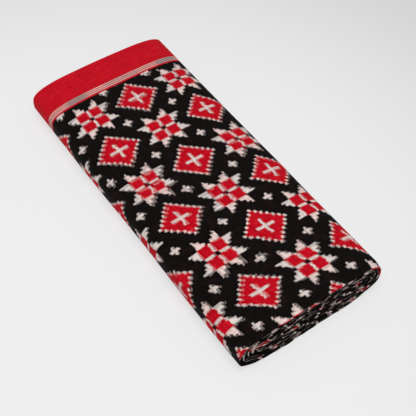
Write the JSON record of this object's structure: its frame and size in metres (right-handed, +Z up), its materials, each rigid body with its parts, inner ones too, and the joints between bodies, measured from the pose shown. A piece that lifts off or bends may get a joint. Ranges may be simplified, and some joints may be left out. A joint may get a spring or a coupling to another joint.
{
  "type": "folded ikat woven cloth",
  "caption": "Length of double ikat cotton, doubled along its middle with red borders at one end and wound flat into a long soft bundle.",
  "frame": {"origin": "middle of the footprint, on the surface that the bundle lies on", "axes": "+X across the bundle, +Y along it from the cloth's centre fold to its red borders, +Z up"},
  "size_m": [0.2432, 0.5624, 0.0571],
  "materials": {
    "ikat_cotton": "matt plain-weave cotton, black ground with red and cream ikat motifs and plain red borders"
  },
  "bodies": {
    "root": {"folded_cloth": "ikat_cotton"}
  },
  "joints": []
}
